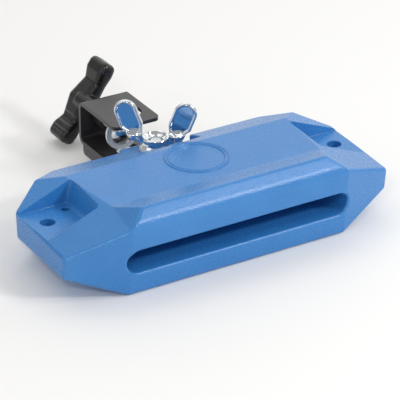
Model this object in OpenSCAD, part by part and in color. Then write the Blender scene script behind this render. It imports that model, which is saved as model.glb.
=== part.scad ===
// Percussion block: a moulded plastic body with a sound slot, and a rod clamp at its back.
// X runs along the block, Y from the slot side to the clamp, Z up from the table.
// The origin is on the table, at the middle of the block's length.

/* [Block] */
// Overall length
block_l = 222; // [212:1:232]
// Length between the bottom corners of the straight middle part
middle_l = 148; // [142:1:154]
// Height of the flat top
top_z = 47; // [45:0.5:50]
// Distance of the front foot from the origin
foot_y = 41; // [38:0.5:44]
// Distance of the front face's upper edge from the origin
brow_y = 45.8; // [44.5:0.1:48]
// Height of the front face's upper edge
brow_z = 45.6; // [44:0.1:46.5]
// Distance of the striking ridge's crest from the origin
crest_y = 37; // [34:0.5:39]
// Height of the striking ridge above the flat top
ridge_h = 6.7; // [5:0.1:8]
// Length of the ridge's crest
crest_l = 125; // [115:1:132]
// Distance of the crease behind the ridge from the origin
crease_y = 17; // [14:0.5:20]
// Length of the crease behind the ridge
crease_l = 143; // [138:1:147]
// Where the rear band starts to fall, behind the origin
band_y = 30; // [27:0.5:31.5]
// How far back the rear edge is
rear_y = 56; // [54.5:0.5:58]
// Height of the rear edge
rear_z = 38; // [37:0.5:40]
// How far the rear face leans in at its foot
rear_lean = 2; // [1:0.5:3]
// Length between the rear corners
rear_l = 146; // [140:1:152]
// Radius of the moulded edges
edge_r = 3; // [2:0.1:3.2]

/* [Ends] */
// Distance of an end face's front edge from the origin
end_front_y = 32; // [30:0.5:34]
// Distance of an end face's rear edge from the origin
end_rear_y = 27.5; // [26.5:0.5:29]
// Height of the end face's lower edge
end_under_z = 16; // [13:0.5:18]
// Height of the end face's front upper corner
end_front_z = 30.2; // [29.5:0.1:31.5]
// Height of the end face's rear upper corner
end_rear_z = 33.2; // [32.8:0.1:34]
// Height of the pocket floors
pocket_z = 32; // [31.5:0.1:32.5]
// Distance of each pocket's inner wall from the middle, at its floor
pocket_x = 78.6; // [78.2:0.1:79]
// How far the inner wall leans outwards over its height
pocket_draft = 3; // [2:0.1:3.5]
// Front wall of the pockets, in front of the origin
pocket_front = 10.5; // [9:0.5:12]
// Rear wall of the pockets, behind the origin
pocket_rear = 25; // [24:0.5:26]
// Corner radius of the pockets
pocket_r = 2.5; // [2:0.1:3]
// Diameter of the large end holes
large_hole_d = 9; // [8:0.1:10]
// Distance between the large end holes
large_hole_span = 199; // [196:1:202]
// How far behind the origin the large holes are
large_hole_y = 9.6; // [8:0.1:11]
// Diameter of the small end holes
small_hole_d = 4.7; // [4:0.1:5]
// Distance between the small end holes
small_hole_span = 166; // [165:1:168]
// How far behind the origin the small holes are
small_hole_y = 18.6; // [17:0.2:20]

/* [Slot] */
// Length of the sound slot
slot_l = 150.5; // [144:0.5:152]
// Height of the sound slot
slot_h = 15.2; // [12:0.1:15.5]
// Height of the slot's middle
slot_z = 22; // [21:0.1:23]
// Depth of the sound chamber behind the foot line
slot_depth = 72; // [50:1:74]
// Width of the slot's rounded lip
lip = 1.7; // [0.8:0.1:1.8]

/* [Rear shelf] */
// Distance of the mounting bolt from the origin
bolt_y = 57; // [56.5:0.1:58]
// Height of the shelf that the wing nut sits over
shelf_z = 33.4; // [33:0.1:34.5]
// Width of the recess round the wing nut
recess_w = 46; // [44:1:50]
// Distance of the recess's front edge from the bolt
recess_front = 18.6; // [18.4:0.1:19.4]
// Radius of the recess's bowed front edge
recess_bow = 90; // [70:1:110]
// Corner radius of the recess
recess_r = 5; // [4:0.5:6]
// Width of the tongue that carries the bolt
tongue_w = 40; // [38:1:42]
// How far the tongue reaches behind the bolt
tongue_back = 16; // [15:0.5:16.5]
// Corner radius of the tongue
tongue_r = 8; // [6:0.5:10]

/* [Bracket] */
// Width of the steel bracket
bracket_w = 33; // [31:0.5:35]
// Thickness of the bracket's steel
steel_t = 2.4; // [2:0.1:2.8]
// Height of the throat between the flanges
throat_h = 24.2; // [24:0.1:26]
// Height of the lower flange's upper face
flange_z = 15.2; // [14.5:0.1:15.4]
// Distance from the bolt to the upper flange's front edge
upper_front = 22.7; // [21:0.1:24]
// Distance from the bolt to the bracket's back
bracket_back = 69.2; // [66:0.1:72]
// Outer radius of the bracket's bends
bend_r = 5; // [4:0.1:6]
// Corner radius of the upper flange
flange_r = 4; // [3:0.1:5]
// How far the stiffening ears hang below the lower flange's upper face
ear_h = 8.7; // [7:0.1:9.5]
// Distance from the bolt to the ears' front edge
ear_front = 17.6; // [17.5:0.1:19]
// Corner radius of the ears
ear_r = 2.9; // [2:0.1:3.2]
// Diameter of the rod holes
rod_hole_d = 16.4; // [13:0.1:17]
// Sideways place of the rod holes
rod_hole_x = 3; // [0:0.1:4]
// Distance from the bolt to the rod holes
rod_hole_back = 39.5; // [37:0.1:41]

/* [Bolt and wing nut] */
// Diameter of the carriage bolt
bolt_d = 8; // [7:0.1:8.2]
// Diameter of the bolt's domed head
bolt_head_d = 19; // [17:0.1:20]
// Height of the bolt's domed head
bolt_head_h = 4; // [3:0.1:4.4]
// Radial clearance of the bolt in its bores
run_gap = 0.08; // [0.04:0.01:0.1]
// Diameter of the washer under the wing nut
washer_d = 20.5; // [20:0.1:22]
// Thickness of the washer
washer_t = 1.6; // [1.2:0.1:1.8]
// Diameter of the wing nut's flared foot
nut_foot_d = 18.9; // [18:0.1:19.5]
// Diameter of the wing nut's hub at its rim
nut_rim_d = 14.6; // [14:0.1:15.5]
// Height of the wing nut's hub
nut_h = 6.7; // [6:0.1:8]
// How far the bolt's end lies below the hub's rim
bolt_sunk = 2; // [1.5:0.1:2.5]
// Width of each wing
wing_w = 14.2; // [13:0.1:15]
// Thickness of each wing
wing_t = 3.6; // [3:0.1:4]
// Overall span of the wings
wing_span = 51; // [49:0.1:53]
// Height of the wing tips above the washer
wing_h = 30.7; // [29:0.1:32]
// Lean of the wings' outer edges
wing_lean = 20.5; // [18:0.5:22]
// Height of the wings' outer corners above the washer
wing_corner = 11.8; // [11:0.1:13]
// Height of the wings' lower edge above the washer, at the recess
wing_under = 9.4; // [9.2:0.1:10]
// Angle of the wings to the block's length
wing_turn = -37; // [-90:1:90]
// Width of the raised rim round each wing
wing_rim = 2; // [1.5:0.1:2.5]
// Depth of the hollow in each wing's face
wing_hollow = 0.8; // [0.4:0.1:1]

/* [Clamp screw] */
// Diameter of the clamp screw
screw_d = 8; // [7:0.1:8.5]
// Diameter of the screw's tip
tip_d = 6; // [5:0.1:6.4]
// Distance from the bolt to the pressure disc's front face
disc_back = 41; // [39:0.5:44]
// Diameter of the pressure disc
disc_d = 23.6; // [20:0.1:23.6]
// Thickness of the pressure disc
disc_t = 2; // [1.6:0.1:2.4]
// Diameter of the domed nose
nose_d = 17; // [14:0.1:18]
// Height of the domed nose
nose_h = 5; // [3:0.1:6]
// Width of the weld nut across its flats
weld_nut_af = 14; // [13:0.1:16]
// Thickness of the weld nut
weld_nut_t = 6.4; // [5:0.1:7]

/* [Handle] */
// Overall length of the handle
handle_l = 58.6; // [56:0.2:59.6]
// Distance from the bolt to the handle's front face
handle_back = 85.2; // [84:0.2:88]
// Depth of the handle along the screw
handle_depth = 19.8; // [18:0.2:21]
// Radius of the handle's soft edges
handle_r = 3.6; // [3:0.1:4]
// Distance of the lobes' wavy grip side from the screw's axis
lobe_side = 5.8; // [5:0.1:6.2]
// Distance of the wavy side from the axis at the two waists
waist_side = 3.2; // [2.8:0.1:4]
// Distance of the handle's sides from the axis at its hub
hub_side = 6.2; // [6:0.1:7]
// Distance of the waists from the screw's axis, along the handle
waist_at = 14.4; // [13:0.2:15]
// How far the waists are scooped out of the depth
waist_scoop = 1.5; // [0.5:0.1:2]
// How far the far side tapers in at the ends
end_taper = 1.2; // [0.5:0.1:1.6]
// Diameter of the boss round the screw
boss_d = 13.6; // [12:0.1:15]
// How far the boss stands out of the front face
boss_l = 6; // [4:0.2:7]
// Tilt of the handle from upright
handle_tilt = 36; // [-180:1:180]
// How far the screw goes into the boss and handle
grip_l = 17; // [14:0.5:19]

/* [Hidden] */
$fn = 64;
ball_fn = 32;
soft_fn = 24;
over = 1;
neck_gap = 0.1;

front = -foot_y;
crest_z = top_z + ridge_h;
half_l = block_l / 2;
half_mid = middle_l / 2;
half_rear = rear_l / 2;
inner_pt = [0, 0, top_z / 2];
screw_z = flange_z + throat_h / 2;
upper_z = flange_z + throat_h;
washer_z = shelf_z;
nut_z = washer_z + washer_t;
lean = atan((brow_y - foot_y) / brow_z);
back_y = bolt_y + bracket_back;
throat_y = back_y - steel_t;
disc_y = bolt_y + disc_back;
grip_y = bolt_y + handle_back - boss_l;

// A plane is its outward unit normal and its distance along it, through three points.
function plane_of(p, q, r) =
    let (n = cross(q - p, r - p), u = n / norm(n), s = u * (inner_pt - p) > 0 ? -1 : 1)
    [s * u, s * (u * p)];

// The point where three planes meet once each has moved inwards by the given inset.
function meet(a, b, c, inset) =
    ((a[1] - inset) * cross(b[0], c[0]) + (b[1] - inset) * cross(c[0], a[0])
     + (c[1] - inset) * cross(a[0], b[0])) / (a[0] * cross(b[0], c[0]));

// Two points of an edge that runs along X, for a plane that holds it.
function along_x(y, z) = [[0, y, z], [half_l, y, z]];
function ruled(y0, z0, y1, z1) = plane_of(along_x(y0, z0)[0], along_x(y0, z0)[1], [0, y1, z1]);

brow_corner = [crease_l / 2 + edge_r / 2, -brow_y, brow_z];
crease_corner = [crease_l / 2, -crease_y, top_z];
crest_corner = [crest_l / 2, -crest_y, crest_z];
rear_corner = [half_rear, rear_y, rear_z];
end_rear_corner = [half_l, end_rear_y, end_rear_z];
end_front_corner = [half_l, -end_front_y, end_front_z];

floor_p = [[0, 0, -1], 0];
top_p = [[0, 0, 1], top_z];
end_p = [[1, 0, 0], half_l];
front_p = ruled(front, 0, -brow_y, brow_z);
facet_p = ruled(-brow_y, brow_z, -crest_y, crest_z);
ridge_band_p = ruled(-crest_y, crest_z, -crease_y, top_z);
rear_band_p = ruled(band_y, top_z, rear_y, rear_z);
rear_p = ruled(rear_y, rear_z, rear_y - rear_lean, 0);
under_p = plane_of([half_mid, 0, 0], [half_mid, rear_y, 0], [half_l, 0, end_under_z]);
end_top_p = plane_of(crease_corner, end_front_corner, end_rear_corner);
front_side_p = plane_of([half_mid, front, 0], brow_corner, end_front_corner);
rear_side_p = plane_of(rear_corner, [half_rear, rear_y, 0], end_rear_corner);
ridge_end_p = plane_of(crest_corner, crease_corner, brow_corner);
buried_p = [[0, 0, 1], brow_z - over];

CORE_CORNERS = [
    [floor_p, front_p, under_p], [floor_p, rear_p, under_p], [rear_p, rear_side_p, under_p],
    [end_p, under_p, front_side_p], [end_p, under_p, rear_side_p],
    [end_p, front_side_p, end_top_p], [end_p, end_top_p, rear_side_p],
    [top_p, front_p, end_top_p], [front_p, front_side_p, end_top_p],
    [top_p, rear_band_p, end_top_p], [rear_band_p, end_top_p, rear_side_p],
    [rear_band_p, rear_p, rear_side_p]];
RIDGE_CORNERS = [
    [facet_p, ridge_band_p, ridge_end_p], [facet_p, front_p, ridge_end_p],
    [ridge_band_p, ridge_end_p, buried_p], [front_p, ridge_end_p, buried_p]];

// A ball at every corner, drawn together into a solid with soft moulded edges.
module faceted_solid(corners) {
    hull() {
        for (c = corners) {
            p = meet(c[0], c[1], c[2], edge_r);
            for (side = [-1, 1])
                translate([side * p.x, p.y, p.z]) sphere(edge_r, $fn = ball_fn);
        }
    }
}

// A slot with round ends that runs back along Y from the plane y = 0.
module round_slot(l, h, depth) {
    translate([-(l - h) / 2, 0, -h / 2]) cube([l - h, depth, h]);
    for (side = [-1, 1])
        translate([side * (l - h) / 2, 0, 0]) rotate([-90, 0, 0]) cylinder(h = depth, d = h);
}

// A rectangle with round corners, from its lowest corner.
module round_rect(size, r) {
    translate([r, 0]) square([size.x - 2 * r, size.y]);
    translate([0, r]) square([size.x, size.y - 2 * r]);
    for (x = [r, size.x - r], y = [r, size.y - r])
        translate([x, y]) circle(r);
}

module sound_chamber() {
    translate([0, front - over - lip, slot_z])
        round_slot(slot_l, slot_h, slot_depth + over + lip);
    slot_front = front - slot_z * tan(lean);
    translate([0, slot_front, slot_z]) rotate([lean, 0, 0]) {
        hull() {
            translate([0, lip, 0]) round_slot(slot_l, slot_h, over);
            translate([0, -2 * over, 0])
                round_slot(slot_l + 2 * lip + 4 * over, slot_h + 2 * lip + 4 * over, over);
        }
    }
}

// The pocket of the left end: its inner wall leans outwards, and it is open at the end face.
module end_pocket() {
    wall_h = top_z - pocket_z;
    inner_x = pocket_x + pocket_r;
    hull() {
        for (y = [-pocket_front + pocket_r, pocket_rear - pocket_r]) {
            translate([-inner_x, y, pocket_z]) cylinder(h = over, r = pocket_r, $fn = ball_fn);
            translate([pocket_draft - inner_x, y, pocket_z + wall_h])
                cylinder(h = over, r = pocket_r, $fn = ball_fn);
            translate([-half_l - pocket_r - over, y, pocket_z])
                cylinder(h = wall_h + over, r = pocket_r, $fn = ball_fn);
        }
    }
}

// The holes through one end, drawn at the left end.
module end_holes() {
    translate([-large_hole_span / 2, large_hole_y, -over])
        cylinder(h = top_z + over, d = large_hole_d);
    translate([-small_hole_span / 2, small_hole_y, -over])
        cylinder(h = top_z + over, d = small_hole_d);
}

// The room round the wing nut, open above and behind, with a bowed front edge.
module nut_recess() {
    translate([0, bolt_y - recess_front, shelf_z]) linear_extrude(top_z)
        intersection() {
            translate([0, recess_bow]) circle(recess_bow, $fn = 180);
            translate([-recess_w / 2, 0])
                round_rect([recess_w, recess_front + tongue_back + 2 * recess_r], recess_r);
        }
}

// The room under the tongue, where the bracket's round end swings.
module swing_recess() {
    swing_r = tongue_w / 2;
    translate([0, bolt_y, -over]) cylinder(h = flange_z + over, r = swing_r, $fn = 96);
    translate([-swing_r, bolt_y, -over]) cube([tongue_w, tongue_back + over, flange_z + over]);
}

module tongue() {
    tongue_front = bolt_y - tongue_w / 2;
    translate([-tongue_w / 2, tongue_front, flange_z])
        linear_extrude(shelf_z - flange_z)
            round_rect([tongue_w, bolt_y + tongue_back - tongue_front], tongue_r);
}

module block_body() {
    color("steelblue") difference() {
        union() {
            faceted_solid(CORE_CORNERS);
            faceted_solid(RIDGE_CORNERS);
            tongue();
        }
        sound_chamber();
        for (turn = [0, 1]) mirror([turn, 0, 0]) {
            end_pocket();
            end_holes();
        }
        nut_recess();
        swing_recess();
        translate([0, bolt_y, 0]) cylinder(h = top_z, d = bolt_d + 2 * run_gap);
    }
}

// The bracket's side profile at the back: two flanges joined by a bent back plate.
module bracket_bend() {
    bend_y = bend_r + steel_t;
    translate([-bracket_w / 2, back_y - bend_y, flange_z - steel_t])
        rotate([90, 0, 90]) linear_extrude(bracket_w)
            difference() {
                translate([-bend_r, 0]) round_rect([bend_y + bend_r, throat_h + 2 * steel_t], bend_r);
                translate([-2 * bend_r, steel_t])
                    round_rect([bend_y + 2 * bend_r - steel_t, throat_h], bend_r - steel_t);
                translate([-2 * bend_r, -over])
                    square([2 * bend_r, throat_h + 2 * steel_t + 2 * over]);
            }
}

module flange_plate(front_y, r) {
    rear = back_y - bend_r - steel_t + over;
    translate([-bracket_w / 2, front_y]) round_rect([bracket_w, rear - front_y], r);
    translate([-bracket_w / 2, rear - r - over]) square([bracket_w, r + over]);
}

// One stiffening ear: it hangs from a long edge of the lower flange.
module ear() {
    ear_l = bracket_back - bend_r - ear_front;
    translate([-bracket_w / 2, bolt_y + ear_front, flange_z - ear_h])
        rotate([90, 0, 90]) linear_extrude(steel_t) {
            round_rect([ear_l, ear_h], ear_r);
            translate([0, ear_h / 2]) square([ear_l, ear_h / 2]);
        }
}

module mount_bracket() {
    color([0.16, 0.16, 0.17]) difference() {
        union() {
            bracket_bend();
            translate([0, 0, upper_z]) linear_extrude(steel_t)
                flange_plate(bolt_y + upper_front, flange_r);
            translate([0, 0, flange_z - steel_t]) linear_extrude(steel_t)
                flange_plate(bolt_y - bracket_w / 2, bracket_w / 2 - neck_gap);
            for (turn = [0, 1]) mirror([turn, 0, 0]) ear();
        }
        translate([rod_hole_x, bolt_y + rod_hole_back, 0]) cylinder(h = 2 * top_z, d = rod_hole_d);
        neck_w = bolt_d + 2 * neck_gap;
        translate([-neck_w / 2, bolt_y - neck_w / 2, 0]) cube([neck_w, neck_w, flange_z + over]);
        translate([0, throat_y - over, screw_z]) rotate([-90, 0, 0])
            cylinder(h = steel_t + 2 * over, d = screw_d + 4 * run_gap);
    }
}

// Carriage bolt: domed head, square neck in the bracket, and a round shank.
module mount_bolt() {
    head_z = flange_z - steel_t;
    dome_r = (bolt_head_d * bolt_head_d / 4 + bolt_head_h * bolt_head_h) / (2 * bolt_head_h);
    color("silver") {
        translate([0, bolt_y, head_z]) intersection() {
            translate([0, 0, dome_r - bolt_head_h]) sphere(dome_r, $fn = 96);
            translate([0, 0, -bolt_head_h]) cylinder(h = bolt_head_h, d = bolt_head_d);
        }
        translate([-bolt_d / 2, bolt_y - bolt_d / 2, head_z]) cube([bolt_d, bolt_d, steel_t]);
        translate([0, bolt_y, head_z])
            cylinder(h = nut_z + nut_h - bolt_sunk - head_z, d = bolt_d);
    }
}

module wing_nut_washer() {
    color("gainsboro") translate([0, bolt_y, washer_z]) difference() {
        cylinder(h = washer_t, d = washer_d);
        translate([0, 0, -over]) cylinder(h = washer_t + 2 * over, d = bolt_d + 2 * run_gap);
    }
}

// A wing's outline in the plane of the hub's axis, drawn in from its edge by the given inset.
// Its lower outer corner is cut back, so that it clears the block as it turns.
module wing_outline(inset, low) {
    tip = [(wing_span - wing_w) / 2, wing_h - wing_w / 2];
    side = [cos(wing_lean), -sin(wing_lean)];
    down = [-sin(wing_lean), -cos(wing_lean)];
    r = wing_w / 2 - inset;
    outer = tip + r * side;
    inner = tip - r * side;
    corner_z = max(wing_corner, low);
    corner = outer + (outer.y - corner_z) / -down.y * down;
    heel_x = nut_rim_d / 2 + wing_rim / 3 + inset;
    heel = inner + (inner.x - heel_x) / -down.x * down;
    skirt_x = bolt_y - (bolt_y - recess_front) - wing_rim / 2 - inset;
    translate(tip) circle(r);
    polygon([outer, corner, [skirt_x, max(wing_under, low)], [skirt_x - wing_rim / 2, max(nut_h, low)],
             [nut_foot_d / 2 + inset, max(nut_h / 3, low)], [heel_x, max(nut_h / 3, low)], heel, inner]);
}

module wing() {
    rotate([90, 0, 0]) difference() {
        translate([0, 0, -wing_t / 2]) linear_extrude(wing_t) {
            wing_outline(0, 0);
            translate([nut_rim_d / 4, nut_h / 3])
                square([nut_rim_d / 4 + wing_rim, nut_h * 2 / 3 + wing_rim]);
        }
        for (side = [-1, 1])
            translate([0, 0, side * (wing_t / 2) - wing_hollow]) linear_extrude(2 * wing_hollow)
                wing_outline(wing_rim, nut_h + wing_rim * 2);
    }
}

module wing_nut() {
    color("silver") translate([0, bolt_y, nut_z]) difference() {
        union() {
            cylinder(h = nut_h / 3, d1 = nut_foot_d, d2 = nut_foot_d - nut_h / 3);
            translate([0, 0, nut_h / 3 - neck_gap])
                cylinder(h = nut_h / 3, d1 = nut_foot_d - nut_h / 3, d2 = nut_rim_d);
            cylinder(h = nut_h, d = nut_rim_d);
            for (turn = [0, 180]) rotate([0, 0, wing_turn + turn]) wing();
        }
        translate([0, 0, -over]) cylinder(h = nut_h + wing_h, d = bolt_d + 2 * run_gap);
        translate([0, 0, nut_h - bolt_sunk])
            cylinder(h = bolt_sunk + neck_gap, d1 = bolt_d + 2 * run_gap, d2 = nut_rim_d - wing_rim);
    }
}

module weld_nut() {
    color("dimgray") translate([0, throat_y, screw_z]) rotate([90, 0, 0]) difference() {
        cylinder(h = weld_nut_t, d = weld_nut_af / cos(30), $fn = 6);
        translate([0, 0, -over]) cylinder(h = weld_nut_t + 2 * over, d = screw_d + 2 * run_gap);
    }
}

module clamp_screw() {
    color("silver") translate([0, 0, screw_z]) rotate([-90, 0, 0]) {
        translate([0, 0, disc_y]) cylinder(h = disc_t + over, d = tip_d);
        translate([0, 0, disc_y + disc_t]) cylinder(h = grip_y + grip_l - disc_y - disc_t, d = screw_d);
    }
}

module pressure_disc() {
    color("lightgray") translate([0, disc_y, screw_z]) rotate([-90, 0, 0]) difference() {
        cylinder(h = disc_t, d = disc_d);
        translate([0, 0, -over]) cylinder(h = disc_t + 2 * over, d = tip_d + 2 * run_gap);
    }
}

module disc_nose() {
    dome_r = (nose_d * nose_d / 4 + nose_h * nose_h) / (2 * nose_h);
    color("silver") translate([0, disc_y, screw_z]) rotate([90, 0, 0]) intersection() {
        translate([0, 0, nose_h - dome_r]) sphere(dome_r, $fn = 96);
        cylinder(h = nose_h, d = nose_d);
    }
}

// Four balls round the handle's section at the height w along it.
module handle_section(w, grip, far, depth) {
    for (u = [handle_r - grip, far - handle_r], side = [-1, 1])
        translate([u, side * (depth / 2 - handle_r), w]) sphere(handle_r, $fn = soft_fn);
}

module waist_section(side) {
    handle_section(side * waist_at, waist_side, hub_side, handle_depth - 2 * waist_scoop);
}

// A bar with a wavy grip side and a softly bowed far side, and a boss for the screw.
module t_handle() {
    end_w = handle_l / 2 - handle_r;
    color([0.09, 0.09, 0.1]) difference() {
        translate([0, bolt_y + handle_back + handle_depth / 2, screw_z])
            rotate([0, handle_tilt, 0]) {
                for (side = [-1, 1]) hull() {
                    handle_section(side * end_w, lobe_side, hub_side - end_taper, handle_depth);
                    handle_section(side * (end_w - handle_r), lobe_side, hub_side - end_taper / 2,
                                   handle_depth);
                    waist_section(side);
                }
                hull() {
                    handle_section(0, hub_side, hub_side, handle_depth);
                    for (side = [-1, 1]) waist_section(side);
                }
                rotate([90, 0, 0]) cylinder(h = handle_depth / 2 + boss_l, d = boss_d);
            }
        translate([0, grip_y - over, screw_z]) rotate([-90, 0, 0])
            cylinder(h = grip_l + over, d = screw_d);
    }
}

block_body();
mount_bracket();
mount_bolt();
wing_nut();
wing_nut_washer();
weld_nut();
clamp_screw();
pressure_disc();
disc_nose();
t_handle();
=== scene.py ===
import math

import bpy
from mathutils import Matrix, Vector


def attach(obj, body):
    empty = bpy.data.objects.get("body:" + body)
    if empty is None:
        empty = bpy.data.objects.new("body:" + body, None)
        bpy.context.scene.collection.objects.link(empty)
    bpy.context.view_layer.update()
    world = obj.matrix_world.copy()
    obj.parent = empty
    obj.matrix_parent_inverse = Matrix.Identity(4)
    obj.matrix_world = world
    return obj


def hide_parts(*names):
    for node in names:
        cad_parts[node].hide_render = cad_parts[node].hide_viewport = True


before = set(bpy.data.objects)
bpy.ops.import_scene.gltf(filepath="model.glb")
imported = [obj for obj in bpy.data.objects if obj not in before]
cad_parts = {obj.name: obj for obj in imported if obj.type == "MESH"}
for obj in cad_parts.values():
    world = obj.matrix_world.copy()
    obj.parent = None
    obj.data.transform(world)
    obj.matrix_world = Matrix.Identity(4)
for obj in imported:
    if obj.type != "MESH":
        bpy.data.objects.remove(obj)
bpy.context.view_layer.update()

MM = 0.001

# The camera that matches the photograph: its angles, its distance and its lens.
CAMERA_AZIMUTH = 30.90
CAMERA_ELEVATION = 27.97
CAMERA_ROLL = -0.168
CAMERA_DISTANCE = 1400 * MM
CAMERA_AIM = Vector((-1.81, 1.07, 24)) * MM
CAMERA_LENS = 211.23

# Shared sizes and places of the model, in millimetres.
BLOCK_HALF = 111
TOP_Z = 47
SLOT_HALF, SLOT_BACK, SLOT_LOW, SLOT_HIGH = 75.25, 31, 14.4, 29.6
POCKET_Z = 32
TONGUE_HALF = 20
TONGUE_LOW = 15.2
SHELF_Z = 33.4
LARGE_HOLES, LARGE_HOLE_R = [(-99.5, 9.6), (99.5, 9.6)], 4.5
SMALL_HOLES, SMALL_HOLE_R = [(-83, 18.6), (83, 18.6)], 2.35
BOLT_Y = 57
NUT_Z = 35
THREAD_R, THREAD_PITCH = 4, 1.25
WING_TIP = (18.4, 0, 23.6)
WING_LEAN = (0, math.radians(20.5), 0)
WING_TURN = math.radians(-37)
WING_RIM_R = 6.1
SHOULDER_Z = 10
DISC_Y = 98
SCREW_Z = 27.3
HANDLE_CENTRE = Vector((0, 152.1, SCREW_Z))
HANDLE_TILT = math.radians(36)


def camera_back(azimuth, elevation):
    """Unit vector from the object towards a camera in front of and above it."""
    a = math.radians(azimuth)
    e = math.radians(elevation)
    return Vector((-math.sin(a) * math.cos(e), -math.cos(a) * math.cos(e), math.sin(e)))


def add_camera():
    """The camera at the place and with the lens that the photograph was fitted with."""
    back = camera_back(CAMERA_AZIMUTH, CAMERA_ELEVATION)
    camera = bpy.data.objects.new("camera", bpy.data.cameras.new("camera"))
    bpy.context.scene.collection.objects.link(camera)
    camera.location = CAMERA_AIM + back * CAMERA_DISTANCE
    turn = back.to_track_quat("Z", "Y").to_matrix()
    roll = Matrix.Rotation(math.radians(-CAMERA_ROLL), 3, "Z")
    camera.rotation_euler = (turn @ roll).to_euler()
    camera.data.lens = CAMERA_LENS
    camera.data.sensor_width = 36
    camera.data.clip_start = 0.05
    bpy.context.scene.camera = camera


def add_softbox(name, place, aim, size, watts):
    """A white rectangular studio light, place and size in metres, turned towards its aim."""
    light = bpy.data.lights.new(name, "AREA")
    light.shape = "RECTANGLE"
    light.size, light.size_y = size
    light.energy = watts
    lamp = bpy.data.objects.new(name, light)
    bpy.context.scene.collection.objects.link(lamp)
    lamp.location = place
    lamp.visible_camera = False
    lamp.rotation_euler = (Vector(place) - Vector(aim)).to_track_quat("Z", "Y").to_euler()


def make_active(piece):
    """Select one piece alone, for the tools that work on the active object."""
    bpy.ops.object.select_all(action="DESELECT")
    piece.select_set(True)
    bpy.context.view_layer.objects.active = piece


def edit(piece):
    """Open a piece in edit mode with its whole mesh selected."""
    make_active(piece)
    bpy.ops.object.mode_set(mode="EDIT")
    bpy.ops.mesh.select_all(action="SELECT")


def close_edit():
    """Leave edit mode."""
    bpy.ops.object.mode_set(mode="OBJECT")


def fix_place(piece):
    """Move a piece's place, turn and size into its mesh."""
    make_active(piece)
    bpy.ops.object.transform_apply(location=True, rotation=True, scale=True)
    return piece


def add_box(name, low, high):
    """A box between two corners in millimetres."""
    bpy.ops.object.select_all(action="DESELECT")
    centre = [(a + b) / 2 * MM for a, b in zip(low, high)]
    bpy.ops.mesh.primitive_cube_add(size=1, location=centre)
    piece = bpy.context.object
    piece.name = name
    piece.scale = [(b - a) * MM for a, b in zip(low, high)]
    return fix_place(piece)


def add_rod(name, radius, start, end, sides=32):
    """A round rod between two points in millimetres."""
    start, end = Vector(start) * MM, Vector(end) * MM
    bpy.ops.object.select_all(action="DESELECT")
    bpy.ops.mesh.primitive_cylinder_add(
        vertices=sides, radius=radius * MM, depth=(end - start).length, location=(start + end) / 2,
        rotation=(end - start).to_track_quat("Z", "Y").to_euler())
    piece = bpy.context.object
    piece.name = name
    return fix_place(piece)


def combine(piece, other, operation):
    """Join, cut or intersect a piece with another one, which is used up."""
    modifier = piece.modifiers.new("combine", "BOOLEAN")
    modifier.operation = operation
    modifier.solver = "EXACT"
    modifier.object = other
    make_active(piece)
    bpy.ops.object.modifier_apply(modifier=modifier.name)
    bpy.data.objects.remove(other)
    return piece


def join(piece, *others):
    """Put other pieces' shells into a piece's mesh."""
    make_active(piece)
    for other in others:
        other.select_set(True)
    bpy.ops.object.join()
    return piece


def clean_mesh(piece, gap=0.01):
    """Merge doubled points and dissolve edges inside flat faces."""
    edit(piece)
    bpy.ops.mesh.remove_doubles(threshold=gap * MM)
    bpy.ops.mesh.dissolve_degenerate(threshold=gap * MM)
    bpy.ops.mesh.select_all(action="SELECT")
    bpy.ops.mesh.dissolve_limited(angle_limit=math.radians(0.4))
    close_edit()
    return piece


def bevel_chosen_edges(piece, width, segments, chosen):
    """Round the edges that chosen(start, end) picks, points in millimetres, while shaping a piece."""
    make_active(piece)
    mesh = piece.data
    for item in (*mesh.vertices, *mesh.edges, *mesh.polygons):
        item.select = False
    for edge in mesh.edges:
        start, end = (mesh.vertices[i].co / MM for i in edge.vertices)
        edge.select = bool(chosen(start, end))
    bpy.ops.object.mode_set(mode="EDIT")
    bpy.ops.mesh.select_mode(type="EDGE")
    bpy.ops.mesh.bevel(offset=width * MM, segments=segments, affect="EDGES", clamp_overlap=False)
    bpy.ops.mesh.select_mode(type="VERT")
    close_edit()


def round_edges(piece, width, segments=3, angle=30):
    """Round every edge of a piece that is sharper than an angle in degrees."""
    modifier = piece.modifiers.new("edges", "BEVEL")
    modifier.width = width * MM
    modifier.segments = segments
    modifier.limit_method = "ANGLE"
    modifier.angle_limit = math.radians(angle)
    make_active(piece)
    bpy.ops.object.modifier_apply(modifier=modifier.name)


def shade(piece, angle=35):
    """Shade a piece softly, and keep its large flat faces flat."""
    make_active(piece)
    bpy.ops.object.shade_smooth_by_angle(angle=math.radians(angle))
    modifier = piece.modifiers.new("flat faces", "WEIGHTED_NORMAL")
    modifier.keep_sharp = True
    bpy.ops.object.modifier_apply(modifier=modifier.name)
    return piece


def trace(name, profile):
    """Draw (radius, height) points in millimetres as one chain of edges, and leave it open to edit."""
    bpy.ops.object.select_all(action="DESELECT")
    bpy.ops.mesh.primitive_plane_add(size=MM, location=(0, 0, 0))
    piece = bpy.context.object
    piece.name = name
    edit(piece)
    bpy.ops.mesh.merge(type="CENTER")
    points = [Vector((r, 0, z)) * MM for r, z in profile]
    bpy.ops.transform.translate(value=points[0])
    for before, after in zip(points, points[1:]):
        bpy.ops.mesh.extrude_vertices_move(TRANSFORM_OT_translate={"value": after - before})
    return piece


def lathe(name, profile, steps):
    """Spin a profile of (radius, height) points in millimetres into a closed solid round Z."""
    piece = trace(name, profile)
    bpy.ops.mesh.select_all(action="SELECT")
    bpy.ops.mesh.spin(steps=steps, angle=2 * math.pi, center=(0, 0, 0), axis=(0, 0, 1))
    bpy.ops.mesh.select_all(action="SELECT")
    bpy.ops.mesh.remove_doubles(threshold=0.002 * MM)
    bpy.ops.mesh.normals_make_consistent(inside=False)
    close_edit()
    return piece


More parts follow.
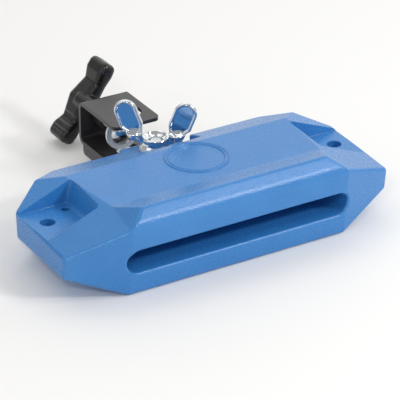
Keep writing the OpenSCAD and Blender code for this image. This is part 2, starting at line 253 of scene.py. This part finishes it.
def put(piece, place, turn=(0, 0, 0)):
    """Stand a piece that was shaped at the origin in its place, in millimetres, turned in radians."""
    piece.location = Vector(place) * MM
    piece.rotation_euler = turn
    return fix_place(piece)


def copy_node(node, name):
    """A merged copy of a CAD node's mesh, to be shaped further."""
    piece = bpy.data.objects.new(name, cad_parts[node].data.copy())
    bpy.context.scene.collection.objects.link(piece)
    edit(piece)
    bpy.ops.mesh.remove_doubles(threshold=0.004 * MM)
    close_edit()
    return piece


def cast_surface(piece, voxel, rounds):
    """Remesh a piece into one skin and soften it, as a casting or moulding runs round its edges.
    The piece lies along the axes meanwhile, so that its flat faces stay flat."""
    remesh = piece.modifiers.new("skin", "REMESH")
    remesh.mode = "VOXEL"
    remesh.voxel_size = voxel * MM
    remesh.use_smooth_shade = True
    soften = piece.modifiers.new("soften", "SMOOTH")
    soften.factor = 0.5
    soften.iterations = rounds
    make_active(piece)
    for name in [m.name for m in piece.modifiers]:
        bpy.ops.object.modifier_apply(modifier=name)


def dress(piece, body, material, slot, *nodes):
    """Give a finished piece its finish and the body that it rides on, and hide the CAD nodes that it stands
    for.
    """
    piece.data.materials.clear()
    piece.data.materials.append(material)
    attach(piece, body)
    if nodes:
        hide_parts(*nodes)


# A point inside the block in millimetres, from which all its outer faces look away.
INNER_POINT = Vector((0, 0, 23.5))


def plane_through(p, q, r):
    """A point of the plane and its unit normal, which points away from the block's inside."""
    p, q, r = Vector(p), Vector(q), Vector(r)
    normal = (q - p).cross(r - p).normalized()
    if normal.dot(INNER_POINT - p) > 0:
        normal.negate()
    return p, normal


def along_block(y0, z0, y1, z1):
    """The plane of a face that runs the block's length, between two of its edges."""
    return plane_through((0, y0, z0), (10, y0, z0), (0, y1, z1))


def both_ends(point, normal):
    """A plane of the right end and its mirror image at the left end."""
    flip = Vector((-1, 1, 1))
    return [(point, normal), (point * flip, normal * flip)]


# The block's outer faces, from corners and edge lines measured in millimetres.
CREASE_CORNER = (71.5, -17, TOP_Z)
BROW_CORNER = (73, -45.8, 45.6)
CREST_CORNER = (62.5, -37, 53.7)
END_FRONT_CORNER = (BLOCK_HALF, -32, 30.2)
END_REAR_CORNER = (BLOCK_HALF, 27.5, 33.2)

FRONT = along_block(-41, 0, -45.8, 45.6)
FACET = along_block(-45.8, 45.6, -37, 53.7)
RIDGE_BAND = along_block(-37, 53.7, -17, TOP_Z)
REAR_BAND = along_block(30, TOP_Z, 56, 38)
REAR = along_block(56, 38, 54, 0)
UNDER = both_ends(*plane_through((74, 0, 0), (74, 56, 0), (BLOCK_HALF, 0, 16)))
END_TOP = both_ends(*plane_through(CREASE_CORNER, END_FRONT_CORNER, END_REAR_CORNER))
FRONT_SIDE = both_ends(*plane_through((74, -41, 0), BROW_CORNER, END_FRONT_CORNER))
REAR_SIDE = both_ends(*plane_through((73, 56, 38), (73, 56, 0), END_REAR_CORNER))
RIDGE_END = both_ends(*plane_through(CREST_CORNER, CREASE_CORNER, BROW_CORNER))
TOP = (Vector((0, 0, TOP_Z)), Vector((0, 0, 1)))
FLOOR = (Vector((0, 0, 0)), Vector((0, 0, -1)))
END = both_ends(Vector((BLOCK_HALF, 0, 0)), Vector((1, 0, 0)))
OUTER_FACES = {
    "front": [FRONT], "facet": [FACET], "band": [RIDGE_BAND, REAR_BAND], "rear": [REAR], "top": [TOP],
    "floor": [FLOOR], "under": UNDER, "end_top": END_TOP, "front_side": FRONT_SIDE,
    "rear_side": REAR_SIDE, "ridge_end": RIDGE_END, "end": END}


def cut_to_planes(piece, planes):
    """Slice a solid along each plane, drop what lies outside it and close the cut."""
    edit(piece)
    for point, normal in planes:
        bpy.ops.mesh.select_all(action="SELECT")
        bpy.ops.mesh.bisect(plane_co=point * MM, plane_no=normal, use_fill=True, clear_outer=True)
    close_edit()
    return piece


def slot_cutter():
    """The sound slot and its chamber, with round ends."""
    piece = add_box("slot", (-SLOT_HALF, -70, SLOT_LOW), (SLOT_HALF, SLOT_BACK, SLOT_HIGH))
    bevel_chosen_edges(piece, 7.59, 10, lambda a, b: abs(a.y - b.y) > 50)
    return clean_mesh(piece, 0.05)


def pocket_cutter(side):
    """An end pocket with a leaning inner wall and round inner corners, open at the end face."""
    x = sorted((side * 78.6, side * 125))
    piece = add_box("pocket", (x[0], -10.5, POCKET_Z), (x[1], 25, 60))
    for point in piece.data.vertices:
        if abs(point.co.x) < 80 * MM and point.co.z > 50 * MM:
            point.co.x -= side * 5.6 * MM
    bevel_chosen_edges(piece, 2.5, 8, lambda a, b: max(abs(a.x), abs(b.x)) < 80 and abs(a.z - b.z) > 20)
    return piece


def recess_cutter():
    """The room round the wing nut: a bowed front wall with round corners, open at the back."""
    piece = add_box("recess", (-23, 38.4, SHELF_Z), (23, 90, 70))
    bevel_chosen_edges(piece, 5, 8, lambda a, b: max(a.y, b.y) < 40 and abs(a.z - b.z) > 20)
    return combine(piece, add_rod("bow", 90, (0, 128.4, 20), (0, 128.4, 80), 180), "INTERSECT")


def face_kind(centre, normal):
    """Which cut or outer face of the block a face belongs to."""
    for name, planes in OUTER_FACES.items():
        for point, outward in planes:
            if normal.dot(outward) > 0.9999 and abs((centre - point).dot(outward)) < 0.05:
                return name
    for hole_x, hole_y in LARGE_HOLES + SMALL_HOLES:
        if math.hypot(centre.x - hole_x, centre.y - hole_y) < LARGE_HOLE_R + 0.2 and abs(normal.z) < 0.1:
            return "hole"
    in_slot = abs(centre.x) < SLOT_HALF + 0.15 and centre.y < SLOT_BACK + 0.1
    if in_slot and SLOT_LOW - 0.1 < centre.z < SLOT_HIGH + 0.1:
        return "slot"
    if abs(centre.x) > 108 and abs(normal.x) > 0.4 and normal.z > 0.05:
        return "outer"
    if abs(centre.x) > 74 and centre.z > POCKET_Z - 0.1:
        return "pocket"
    if centre.z > SHELF_Z - 0.1:
        return "recess"
    if centre.z < TONGUE_LOW + 0.1 and centre.y > 36:
        return "swing"
    return "tongue"


# Radius in millimetres of an edge between two kinds of face: moulded outside edges, the broad soft
# brow over the slot, the slot's full lip, and the small breaks round pockets, holes and the tongue.
# The two edges beside the thin rear wall of a pocket are tighter, so that they don't meet.
EDGE_RADII = {
    ("outer", "slot"): 1.8, ("slot", "slot"): 2, ("outer", "pocket"): 0.8, ("pocket", "pocket"): 1,
    ("hole", "pocket"): 0.45, ("hole", "outer"): 0.45, ("outer", "recess"): 0.9, ("recess", "recess"): 0.8,
    ("outer", "tongue"): 1, ("recess", "tongue"): 1, ("tongue", "tongue"): 1, ("outer", "swing"): 0.7,
    ("swing", "swing"): 0.6, ("swing", "tongue"): 0.7, ("outer", "outer"): 3,
    ("end_top", "rear_side"): 1.3, ("end_top", "pocket"): 0.5, ("facet", "front"): 10}
CREASE_RADIUS = 8
FULL_BEVEL = 6


def block_edge_radius(kinds, convex, start, end):
    """Radius of one edge of the block. Three spots stay crisp, because their edges lie closer together
    than a radius: the tooth behind a pocket at the end face, the pocket's rim where it runs out
    there, and the pocket's upper rear corner."""
    x = min(abs(start.x), abs(end.x))
    y, z = min(start.y, end.y), min(start.z, end.z)
    tooth = x > 100 and y > 24.5 and z > 30
    run_out = x > 107 and "pocket" in kinds
    upper_corner = 74 < x < 80 and y > 22 and z > 44 and "pocket" in kinds
    if tooth or run_out or upper_corner:
        return 0
    if tuple(sorted(kinds)) in EDGE_RADII:
        return EDGE_RADII[tuple(sorted(kinds))]
    kinds = sorted("outer" if kind in OUTER_FACES else kind for kind in kinds)
    if kinds[0] == kinds[1] == "outer" and not convex:
        return CREASE_RADIUS
    return EDGE_RADII.get(tuple(kinds), 0.5)


def weight_block_edges(piece):
    """Write each edge's share of the full bevel's width, worked out from its radius and its angle."""
    mesh = piece.data
    sides = {}
    for face in mesh.polygons:
        corners = list(face.vertices)
        for start, end in zip(corners, corners[1:] + corners[:1]):
            sides.setdefault((min(start, end), max(start, end)), []).append((face, start < end))
    weights = mesh.attributes.new("bevel_weight_edge", "FLOAT", "EDGE")
    for edge in mesh.edges:
        pair = sides.get(tuple(sorted(edge.vertices)), [])
        if len(pair) != 2:
            continue
        (one, forward), (two, _) = pair
        angle = one.normal.angle(two.normal, 0)
        if angle < math.radians(13):
            continue
        start, end = (mesh.vertices[i].co for i in sorted(edge.vertices))
        along = (end - start).normalized() * (1 if forward else -1)
        convex = two.normal.cross(-along).dot(one.normal) < 0
        kinds = [face_kind(f.center / MM, f.normal) for f in (one, two)]
        radius = block_edge_radius(kinds, convex, start / MM, end / MM)
        weights.data[edge.index].value = min(radius * math.tan(angle / 2) / FULL_BEVEL, 1)


def shape_block_body():
    """The moulded block: flat facets first, then its slot, pockets, holes and tongue, then soft edges."""
    core = add_box("block_body_skin", (-BLOCK_HALF, -60, 0), (BLOCK_HALF, 70, TOP_Z))
    cut_to_planes(core, [FRONT, FACET, REAR_BAND, REAR, *UNDER, *END_TOP, *FRONT_SIDE, *REAR_SIDE])
    ridge = add_box("ridge", (-90, -60, 40), (90, -10, 60))
    cut_to_planes(ridge, [FRONT, FACET, RIDGE_BAND, *RIDGE_END, *FRONT_SIDE])
    combine(core, ridge, "UNION")
    clean_mesh(core)
    # The upper edges of the ends are rounded before the pockets run out through them.
    bevel_chosen_edges(
        core, 2, 6, lambda a, b: min(abs(a.x), abs(b.x)) > BLOCK_HALF - 0.1 and min(a.z, b.z) > 29)
    combine(core, recess_cutter(), "DIFFERENCE")
    tongue = add_box("tongue", (-TONGUE_HALF, 37, TONGUE_LOW), (TONGUE_HALF, 73, SHELF_Z))
    bevel_chosen_edges(tongue, 8, 8, lambda a, b: min(a.y, b.y) > 70 and abs(a.z - b.z) > 10)
    combine(core, tongue, "UNION")
    clean_mesh(core)
    combine(core, slot_cutter(), "DIFFERENCE")
    for side in (-1, 1):
        combine(core, pocket_cutter(side), "DIFFERENCE")
    for places, radius in ((LARGE_HOLES, LARGE_HOLE_R), (SMALL_HOLES, SMALL_HOLE_R)):
        for x, y in places:
            combine(core, add_rod("hole", radius, (x, y, -5), (x, y, 60)), "DIFFERENCE")
    swing = add_rod("swing", TONGUE_HALF, (0, BOLT_Y, -5), (0, BOLT_Y, TONGUE_LOW), 64)
    combine(core, swing, "DIFFERENCE")
    swing = add_box("swing", (-TONGUE_HALF, BOLT_Y, -5), (TONGUE_HALF, 90, TONGUE_LOW))
    combine(core, swing, "DIFFERENCE")
    combine(core, add_rod("bore", 4.08, (0, BOLT_Y, 0), (0, BOLT_Y, 50)), "DIFFERENCE")
    clean_mesh(core)
    weight_block_edges(core)
    edges = core.modifiers.new("edges", "BEVEL")
    edges.width = FULL_BEVEL * MM
    edges.offset_type = "OFFSET"
    edges.segments = 6
    edges.limit_method = "WEIGHT"
    edges.use_clamp_overlap = False
    edges.loop_slide = False
    make_active(core)
    bpy.ops.object.modifier_apply(modifier=edges.name)
    return shade(core, 30)


def shape_top_ring():
    """The plain mark on the top: two low concentric beads on one thin seat in the surface."""
    ring = lathe("top_ring", [(16.7, -0.3), (16.75, 0.04), (17.05, 0.5), (17.25, 0.58), (17.45, 0.5),
                              (17.75, 0.04), (18.9, 0.04), (19.2, 0.5), (19.4, 0.58), (19.6, 0.5),
                              (19.9, 0.04), (19.95, -0.3), (16.7, -0.3)], 96)
    return shade(put(ring, (2, 11.5, TOP_Z)), 60)


def shape_bracket():
    """The bent steel bracket, its sheet edges broken as after stamping and coating."""
    bracket = clean_mesh(copy_node("mount_bracket", "bracket_steel"))
    round_edges(bracket, 0.35, 3, 40)
    return shade(bracket, 35)


def threaded_rod(name, length):
    """A closed rod along Z from the origin, with an M8 thread and chamfered ends."""
    radius, pitch = THREAD_R, THREAD_PITCH
    root = radius - 0.6 * pitch
    turn = [(root, 0), (root, 0.1), (radius, 0.42), (radius, 0.58), (root, 0.9), (root, 1)]
    rod = trace(name, [(r, (z - 1.5) * pitch) for r, z in turn])
    close_edit()
    screw = rod.modifiers.new("thread", "SCREW")
    screw.axis = "Z"
    screw.angle = 2 * math.pi
    screw.screw_offset = pitch * MM
    screw.iterations = math.ceil(length / pitch) + 3
    screw.steps = screw.render_steps = 28
    screw.use_merge_vertices = True
    screw.merge_threshold = 0.001 * MM
    make_active(rod)
    bpy.ops.object.modifier_apply(modifier=screw.name)
    edit(rod)
    bpy.ops.mesh.remove_doubles(threshold=0.002 * MM)
    bpy.ops.mesh.select_all(action="DESELECT")
    bpy.ops.mesh.select_non_manifold()
    bpy.ops.mesh.fill_holes(sides=0)
    bpy.ops.mesh.select_all(action="SELECT")
    bpy.ops.mesh.normals_make_consistent(inside=False)
    close_edit()
    chamfer = 0.7 * pitch
    ends = lathe("ends", [(0, 0), (radius - chamfer, 0), (radius + 0.01, chamfer),
                          (radius + 0.01, length - chamfer), (radius - chamfer, length), (0, length)], 56)
    return combine(rod, ends, "INTERSECT")


def shape_bolt():
    """The carriage bolt: domed head, square neck and threaded shank up through the wing nut."""
    bolt = put(threaded_rod("carriage_bolt", 24.5), (0, BOLT_Y, TONGUE_LOW))
    dome = [(9.5 * math.sin(a), -4 * math.cos(a)) for a in [i * math.pi / 24 for i in range(12)]]
    dome[0] = (0, -4)
    head = lathe("head", dome + [(9.5, -0.3), (9.3, 0), (0, 0)], 48)
    put(head, (0, BOLT_Y, 12.8))
    neck = add_box("neck", (-4, BOLT_Y - 4, 12.7), (4, BOLT_Y + 4, 15.25))
    round_edges(neck, 0.3, 2)
    return shade(join(bolt, head, neck), 40)


def shape_washer():
    """The flat washer, punched with a soft outer edge."""
    washer = lathe("flat_washer", [(4.1, 0.1), (4.2, 0), (9.95, 0), (10.2, 0.25), (10.2, 1.3), (9.9, 1.6),
                                   (4.3, 1.6), (4.1, 1.45), (4.1, 0.1)], 72)
    return shade(put(washer, (0, BOLT_Y, SHELF_Z)), 40)


def wing_hollow(half_turn, face):
    """The cutter that leaves one wing's thin web, down to the flat bottom of its hollow."""
    y = sorted((face * 0.75, face * 6))
    hollow = add_box("hollow", (-9, y[0], -24), (9, y[1], 9))
    put(hollow, WING_TIP, WING_LEAN)
    cut_to_planes(hollow, [(Vector((0, 0, SHOULDER_Z)), Vector((0, 0, -1)))])
    return put(hollow, (0, 0, 0), (0, 0, half_turn))


def wing_bead(half_turn):
    """The full round rim of one wing: a half ring over two legs that bend in to the nut."""
    bpy.ops.object.select_all(action="DESELECT")
    bpy.ops.mesh.primitive_torus_add(major_radius=WING_RIM_R * MM, minor_radius=MM, major_segments=64,
                                     minor_segments=16, rotation=(math.pi / 2, 0, 0))
    bead = fix_place(bpy.context.object)
    combine(bead, add_box("lower_half", (-9, -3, -9), (9, 3, 0)), "DIFFERENCE")
    for x, knee, foot in ((WING_RIM_R, -9.5, (3.67, 0, -13.25)), (-WING_RIM_R, -10.8, (-3.62, 0, -17.15))):
        join(bead, add_rod("leg", 1, (x, 0, 0.2), (x, 0, knee - 0.2), 20))
        join(bead, add_rod("foot", 1, (x, 0, knee), foot, 20))
    bead.scale = (1, 1.75, 1)
    put(bead, WING_TIP, WING_LEAN)
    return put(bead, (0, 0, 0), (0, 0, half_turn))


def shape_wing_nut():
    """The cast wing nut: hollow wings with full round rims and a flat-topped shoulder at each root,
    round a turned hub with a rolled ring at its top and a flared foot."""
    nut = copy_node("wing_nut", "cast_wing_nut")
    put(nut, (0, -BOLT_Y, -NUT_Z))
    put(nut, (0, 0, 0), (0, 0, -WING_TURN))
    combine(nut, add_rod("core", 6.8, (0, 0, -5), (0, 0, 40), 48), "DIFFERENCE")
    combine(nut, add_rod("core", 8.3, (0, 0, 5.6), (0, 0, 15), 48), "DIFFERENCE")
    for half_turn in (0, math.pi):
        for face in (-1, 1):
            combine(nut, wing_hollow(half_turn, face), "DIFFERENCE")
    for half_turn in (0, math.pi):
        shoulder = lathe("shoulder", [(0, -6), (2, -5.6), (3.6, -4.2), (4.6, -2.2), (5, -0.9), (4.95, -0.35),
                                      (4.6, 0), (4.2, 0.1), (0, 0.3)], 48)
        shoulder.scale = (1, 1.24, 1)
        put(shoulder, (13.4, 0, SHOULDER_Z))
        join(nut, put(shoulder, (0, 0, 0), (0, 0, half_turn)))
        join(nut, wing_bead(half_turn))
    cast_surface(nut, 0.22, 12)
    hub = lathe("hub", [(4.12, 0), (9.2, 0), (9.45, 0.2), (9.4, 0.7), (9, 1.5), (8.4, 2.5), (8.05, 3.6),
                        (8.1, 4.7), (8.45, 5.6), (8.6, 6.3), (8.45, 6.9), (8.05, 7.3), (7.55, 7.4),
                        (7.05, 7.2), (6.6, 6.7), (6.1, 6), (5.4, 5.5), (4.5, 5.2), (4.12, 4.8),
                        (4.12, 0)], 72)
    join(nut, shade(hub, 50))
    put(nut, (0, 0, 0), (0, 0, WING_TURN))
    return put(nut, (0, BOLT_Y, NUT_Z))


def shape_weld_nut():
    """The weld nut on the back plate, its corners rounded by the weld's heat."""
    nut = clean_mesh(copy_node("weld_nut", "weld_nut_steel"))
    round_edges(nut, 0.4, 3, 40)
    return shade(nut, 35)


def shape_clamp_screw():
    """The clamp screw: a threaded rod with a plain tip that carries the pressure disc."""
    back = (-math.pi / 2, 0, 0)
    rod = put(threaded_rod("clamp_thread", 52.6), (0, DISC_Y + 2.5, SCREW_Z), back)
    tip = lathe("tip", [(0, 0), (3, 0), (3, 3.2), (0, 3.2)], 40)
    return shade(join(rod, put(tip, (0, DISC_Y, SCREW_Z), back)), 40)


def shape_pressure_disc():
    """The turned pressure disc with a broken edge and a small punched dot."""
    disc = lathe("pressure_plate", [(3.08, 0), (11.4, 0), (11.7, 0.12), (11.8, 0.4), (11.8, 1.7), (11.5, 2),
                                    (3.08, 2), (3.08, 0)], 96)
    put(disc, (0, DISC_Y, SCREW_Z), (-math.pi / 2, 0, 0))
    dot = add_rod("dot", 0.7, (-8.2, DISC_Y - 0.5, SCREW_Z - 5.6), (-8.2, DISC_Y + 0.5, SCREW_Z - 5.6), 20)
    return shade(combine(disc, dot, "DIFFERENCE"), 40)


def shape_nose():
    """The domed nose: a spun cap with a rolled edge."""
    reach, height = 8.5, 5
    dome_r = (reach * reach + height * height) / (2 * height)
    half = math.asin(reach / dome_r)
    arc = [(dome_r * math.sin(half * i / 14), dome_r * math.cos(half * i / 14) + height - dome_r)
           for i in range(14)]
    arc[0] = (0, height)
    nose = lathe("domed_nose", arc + [(reach - 0.12, 0.3), (reach, 0.1), (reach - 0.1, 0), (0, 0)], 72)
    return shade(put(nose, (0, DISC_Y, SCREW_Z), (math.pi / 2, 0, 0)), 50)


def along_handle(u, w, y):
    """A place by its distances across and along the handle, in millimetres."""
    c, s = math.cos(HANDLE_TILT), math.sin(HANDLE_TILT)
    return HANDLE_CENTRE + Vector((u * c + w * s, y, w * c - u * s))


def shape_handle():
    """The moulded handle: soft edges, and finger grooves across the lower lobe's grip side."""
    handle = copy_node("t_handle", "moulded_handle")
    for u, w in ((-4.6, -12), (-4.7, -16.3), (-6.2, -20.6), (-6.75, -24.9)):
        groove = add_rod("groove", 1.5, along_handle(u, w, -15), along_handle(u, w, 15), 20)
        combine(handle, groove, "DIFFERENCE")
    put(handle, -HANDLE_CENTRE)
    put(handle, (0, 0, 0), (0, -HANDLE_TILT, 0))
    cast_surface(handle, 0.4, 8)
    put(handle, (0, 0, 0), (0, HANDLE_TILT, 0))
    return put(handle, HANDLE_CENTRE)


def linear(code):
    """A colour from its sRGB hex code, made linear for a shader's socket."""
    parts = [int(code[i:i + 2], 16) / 255 for i in (1, 3, 5)]
    return [p / 12.92 if p <= 0.04045 else ((p + 0.055) / 1.055) ** 2.4 for p in parts] + [1]


def per_mm(size):
    """Texture scale for a pattern whose features are this many millimetres across."""
    return 1 / (size * MM)


def add_node(tree, kind, links=(), **settings):
    """Add one node, set its properties and sockets by name, and link outputs into its sockets."""
    node = tree.nodes.new(kind)
    for name, value in settings.items():
        if hasattr(node, name):
            setattr(node, name, value)
        else:
            node.inputs[name].default_value = value
    for socket, output in links:
        tree.links.new(output, node.inputs[socket])
    return node


def new_finish(name, colour, metallic, roughness, **sockets):
    """A material with its shader's constants set, and its object coordinates."""
    material = bpy.data.materials.new(name)
    material.use_nodes = True
    tree = material.node_tree
    shader = tree.nodes["Principled BSDF"]
    shader.inputs["Base Color"].default_value = linear(colour)
    shader.inputs["Metallic"].default_value = metallic
    shader.inputs["Roughness"].default_value = roughness
    for socket, value in sockets.items():
        shader.inputs[socket.replace("_", " ")].default_value = value
    place = add_node(tree, "ShaderNodeTexCoord").outputs["Object"]
    return material, tree, shader, place


def blue_moulded_abs():
    """ABS moulded against a spark-eroded steel mould: even colour through the wall, a fine dull grain
    that breaks the highlights up, and faint cloudy flow marks."""
    material, tree, shader, place = new_finish("blue_moulded_abs", "#337DC1", 0, 0.36, IOR=1.53)
    cloud = add_node(tree, "ShaderNodeTexNoise", [("Vector", place)], Scale=per_mm(28), Detail=3)
    tint = add_node(tree, "ShaderNodeValToRGB", [("Fac", cloud.outputs["Fac"])])
    tint.color_ramp.elements[0].position = 0.3
    tint.color_ramp.elements[0].color = linear("#317BBF")
    tint.color_ramp.elements[1].position = 0.7
    tint.color_ramp.elements[1].color = linear("#3680C4")
    tree.links.new(tint.outputs["Color"], shader.inputs["Base Color"])
    # The real grain is about 0.1 mm. It is drawn at 0.9 mm, so that it still shows at this distance.
    grain = add_node(tree, "ShaderNodeTexNoise", [("Vector", place)], Scale=per_mm(0.9), Detail=4)
    gloss = add_node(tree, "ShaderNodeMapRange", [("Value", grain.outputs["Fac"])],
                     **{"To Min": 0.22, "To Max": 0.34})
    tree.links.new(gloss.outputs["Result"], shader.inputs["Roughness"])
    bump = add_node(tree, "ShaderNodeBump", [("Height", grain.outputs["Fac"])], Strength=1,
                    Distance=0.15 * MM)
    tree.links.new(bump.outputs["Normal"], shader.inputs["Normal"])
    return material


def black_powder_coat():
    """Epoxy powder baked on steel: thick, dark and satin, with a faint orange-peel wave."""
    material, tree, shader, place = new_finish("black_powder_coat", "#2B2829", 0, 0.3, IOR=1.55)
    peel = add_node(tree, "ShaderNodeTexNoise", [("Vector", place)], Scale=per_mm(1.4), Detail=2)
    gloss = add_node(tree, "ShaderNodeMapRange", [("Value", peel.outputs["Fac"])],
                     **{"To Min": 0.24, "To Max": 0.38})
    tree.links.new(gloss.outputs["Result"], shader.inputs["Roughness"])
    bump = add_node(tree, "ShaderNodeBump", [("Height", peel.outputs["Fac"])], Strength=0.3,
                    Distance=0.08 * MM)
    tree.links.new(bump.outputs["Normal"], shader.inputs["Normal"])
    return material


def zinc_plate():
    """Zinc electroplated on steel: pale blue-grey metal, dull, with small cloudy crystals."""
    material, tree, shader, place = new_finish("zinc_plate", "#DADFE1", 0.35, 0.5)
    cloud = add_node(tree, "ShaderNodeTexNoise", [("Vector", place)], Scale=per_mm(1.8), Detail=4)
    tint = add_node(tree, "ShaderNodeValToRGB", [("Fac", cloud.outputs["Fac"])])
    tint.color_ramp.elements[0].position = 0.35
    tint.color_ramp.elements[0].color = linear("#D0D6D9")
    tint.color_ramp.elements[1].position = 0.65
    tint.color_ramp.elements[1].color = linear("#E8EBEC")
    tree.links.new(tint.outputs["Color"], shader.inputs["Base Color"])
    gloss = add_node(tree, "ShaderNodeMapRange", [("Value", cloud.outputs["Fac"])],
                     **{"To Min": 0.42, "To Max": 0.56})
    tree.links.new(gloss.outputs["Result"], shader.inputs["Roughness"])
    return material


def nut_chrome():
    """Nickel and chrome plated on a zinc casting: mirror bright, slightly wavy from the casting below."""
    material, tree, shader, place = new_finish("cast_chrome", "#E1E5E8", 1, 0.07)
    wave = add_node(tree, "ShaderNodeTexNoise", [("Vector", place)], Scale=per_mm(3), Detail=1)
    bump = add_node(tree, "ShaderNodeBump", [("Height", wave.outputs["Fac"])], Strength=0.25,
                    Distance=0.12 * MM)
    tree.links.new(bump.outputs["Normal"], shader.inputs["Normal"])
    gloss = add_node(tree, "ShaderNodeMapRange", [("Value", wave.outputs["Fac"])],
                     **{"To Min": 0.05, "To Max": 0.12})
    tree.links.new(gloss.outputs["Result"], shader.inputs["Roughness"])
    return material


def black_moulded_nylon():
    """Glass-filled nylon from a grained mould: deep black, half glossy, with a slight speckle."""
    material, tree, shader, place = new_finish("black_moulded_nylon", "#0C0C0D", 0, 0.36, IOR=1.53)
    grain = add_node(tree, "ShaderNodeTexNoise", [("Vector", place)], Scale=per_mm(0.8), Detail=3)
    gloss = add_node(tree, "ShaderNodeMapRange", [("Value", grain.outputs["Fac"])],
                     **{"To Min": 0.2, "To Max": 0.36})
    tree.links.new(gloss.outputs["Result"], shader.inputs["Roughness"])
    bump = add_node(tree, "ShaderNodeBump", [("Height", grain.outputs["Fac"])], Strength=0.25,
                    Distance=0.08 * MM)
    tree.links.new(bump.outputs["Normal"], shader.inputs["Normal"])
    return material


def pale_floor():
    """Matt white card, so close to white that only the contact shadow shows."""
    material, tree, shader, place = new_finish("matt_white_card", "#F5F4F2", 0, 0.9)
    fibre = add_node(tree, "ShaderNodeTexNoise", [("Vector", place)], Scale=per_mm(4), Detail=2)
    bump = add_node(tree, "ShaderNodeBump", [("Height", fibre.outputs["Fac"])], Strength=0.05,
                    Distance=0.05 * MM)
    tree.links.new(bump.outputs["Normal"], shader.inputs["Normal"])
    return material


def set_up_studio():
    """The camera, soft studio lights round the object, and a white floor under it."""
    add_camera()
    bpy.context.scene.view_settings.view_transform = "Standard"
    aim = (0, 0, 0.02)
    # The two small keys draw the streaks along the brow and the left end. The low one lights the front.
    add_softbox("key right", (0.54, -0.79, 0.72), aim, (0.22, 0.1), 4.2)
    add_softbox("key left", (-0.6, -0.74, 0.72), aim, (0.18, 0.1), 1.8)
    add_softbox("low front", (0.1, -1.3, 0.24), aim, (1.5, 0.36), 1.5)
    add_softbox("overhead", (0.6, -0.52, 1), aim, (0.24, 0.22), 1.7)
    add_softbox("top right", (0.35, 0.45, 1.1), aim, (0.9, 0.7), 2)
    add_softbox("top left", (-0.4, 0.4, 1.1), aim, (0.9, 0.7), 1.4)
    add_softbox("side right", (1.1, 0.1, 0.6), aim, (0.8, 0.6), 1.5)
    add_softbox("side left", (-1.1, 0, 0.6), aim, (0.8, 0.6), 1.2)
    add_softbox("backdrop", (0.6, 1.3, 0.55), aim, (2.6, 1.1), 6.4)
    world = bpy.data.worlds.new("studio")
    bpy.context.scene.world = world
    world.use_nodes = True
    world.node_tree.nodes["Background"].inputs["Color"].default_value = (1, 1, 1, 1)
    world.node_tree.nodes["Background"].inputs["Strength"].default_value = 0.42
    bpy.ops.object.select_all(action="DESELECT")
    bpy.ops.mesh.primitive_plane_add(size=20, location=(0, 0, 0))
    floor = bpy.context.object
    floor.name = "floor"
    floor.data.materials.append(pale_floor())


set_up_studio()
abs_blue, powder, zinc, chrome, nylon = (
    blue_moulded_abs(), black_powder_coat(), zinc_plate(), nut_chrome(), black_moulded_nylon())
dress(shape_block_body(), "block", abs_blue, "block_plastic", "block_body")
dress(shape_top_ring(), "block", abs_blue, "block_plastic")
dress(shape_bracket(), "bracket", powder, "bracket_paint", "mount_bracket")
dress(shape_bolt(), "bracket", zinc, "zinc_steel", "mount_bolt")
dress(shape_weld_nut(), "bracket", powder, "bracket_paint", "weld_nut")
dress(shape_washer(), "nut_washer", zinc, "zinc_steel", "wing_nut_washer")
dress(shape_wing_nut(), "wing_nut", chrome, "nut_chrome", "wing_nut")
dress(shape_pressure_disc(), "clamp_pad", zinc, "zinc_steel", "pressure_disc")
dress(shape_nose(), "clamp_pad", chrome, "nut_chrome", "disc_nose")
dress(shape_clamp_screw(), "clamp_screw", zinc, "zinc_steel", "clamp_screw")
dress(shape_handle(), "clamp_screw", nylon, "handle_plastic", "t_handle")
